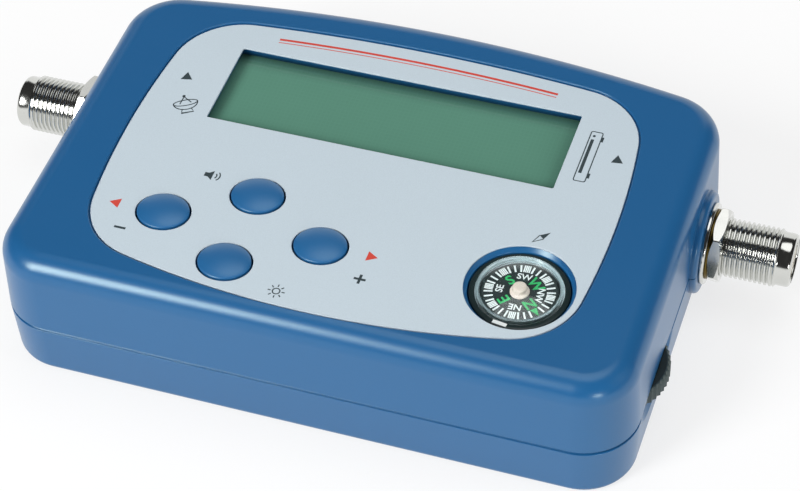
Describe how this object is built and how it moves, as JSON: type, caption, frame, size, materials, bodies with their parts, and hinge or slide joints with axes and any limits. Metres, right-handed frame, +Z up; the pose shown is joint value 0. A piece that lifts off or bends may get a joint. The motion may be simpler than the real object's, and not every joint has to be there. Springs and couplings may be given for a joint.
{
  "type": "satellite signal meter",
  "caption": "Handheld satellite signal meter: bowed plastic case with a display window, oval keys, a small compass, a thumbwheel and a threaded coaxial socket on each end.",
  "frame": {"origin": "under the middle of the case, on the surface that the case stands on", "axes": "+X towards the receiver socket, +Y towards the bowed back wall, +Z up through the front label"},
  "size_m": [0.134, 0.0714, 0.0247],
  "materials": {
    "satin_blue": "satin",
    "key_blue": "satin",
    "label_silver": "satin",
    "nickel": "polished",
    "brass": "satin",
    "steel": "satin",
    "tinned_steel": "satin",
    "black_plastic": "matte",
    "white_plastic": "satin",
    "clear_plastic": "polished",
    "display_glass": "polished",
    "board_green": "satin",
    "rubber_grey": "matte"
  },
  "bodies": {
    "case": {"upper_cover": "satin_blue", "lower_cover": "satin_blue", "front_label": "label_silver", "dish_socket_barrel": "nickel", "dish_socket_washer": "nickel", "dish_socket_nut": "nickel", "receiver_socket_barrel": "nickel", "receiver_socket_washer": "nickel", "receiver_socket_nut": "nickel", "dish_socket_contact": "brass", "dish_socket_lock_washer": "brass", "receiver_socket_contact": "brass", "receiver_socket_lock_washer": "brass", "case_screw_1": "steel", "case_screw_2": "steel", "case_screw_3": "steel", "case_screw_4": "steel", "compass_pivot": "steel", "board_screw_1": "steel", "board_screw_2": "steel", "crystal": "steel", "capacitor_1": "steel", "capacitor_2": "steel", "switch_attenuate_down": "tinned_steel", "switch_attenuate_up": "tinned_steel", "switch_sounder": "tinned_steel", "switch_light": "tinned_steel", "shield_frame": "tinned_steel", "shield_lid": "tinned_steel", "display_frame": "black_plastic", "compass_capsule": "black_plastic", "potentiometer_body": "black_plastic", "tuner_chip": "black_plastic", "controller_chip": "black_plastic", "sounder": "black_plastic", "display_backlight": "white_plastic", "dish_socket_insulator": "white_plastic", "receiver_socket_insulator": "white_plastic", "compass_lens": "clear_plastic", "display_front_glass": "display_glass", "display_back_glass": "display_glass", "main_board": "board_green", "display_strip_front": "rubber_grey", "display_strip_back": "rubber_grey"},
    "key_attenuate_down": {"key_attenuate_down": "key_blue", "plunger_attenuate_down": "black_plastic"},
    "key_attenuate_up": {"key_attenuate_up": "key_blue", "plunger_attenuate_up": "black_plastic"},
    "key_sounder": {"key_sounder": "key_blue", "plunger_sounder": "black_plastic"},
    "key_light": {"key_light": "key_blue", "plunger_light": "black_plastic"},
    "wheel": {"thumbwheel": "black_plastic", "thumbwheel_screw": "steel", "potentiometer_rotor": "white_plastic"},
    "compass_rose": {"compass_card": "black_plastic", "compass_hub": "white_plastic", "compass_magnet": "steel"}
  },
  "joints": [
    {"name": "press_attenuate_down", "type": "slide", "parent": "case", "child": "key_attenuate_down", "axis": [0, 0, -1], "range_m": [0, 0.0004], "stiffness_N_per_m": 1500, "springref_m": -0.0002},
    {"name": "press_attenuate_up", "type": "slide", "parent": "case", "child": "key_attenuate_up", "axis": [0, 0, -1], "range_m": [0, 0.0004], "stiffness_N_per_m": 1500, "springref_m": -0.0002},
    {"name": "press_sounder", "type": "slide", "parent": "case", "child": "key_sounder", "axis": [0, 0, -1], "range_m": [0, 0.0004], "stiffness_N_per_m": 1500, "springref_m": -0.0002},
    {"name": "press_light", "type": "slide", "parent": "case", "child": "key_light", "axis": [0, 0, -1], "range_m": [0, 0.0004], "stiffness_N_per_m": 1500, "springref_m": -0.0002},
    {"name": "gain_wheel", "type": "hinge", "parent": "case", "child": "wheel", "pos_m": [0.0448, -0.0156, 0.0083], "axis": [0, 0, 1], "range_deg": [-150, 150]},
    {"name": "compass_turn", "type": "hinge", "parent": "case", "child": "compass_rose", "pos_m": [0.03008, -0.01774, 0.0223], "axis": [0, 0, 1], "continuous": true}
  ]
}
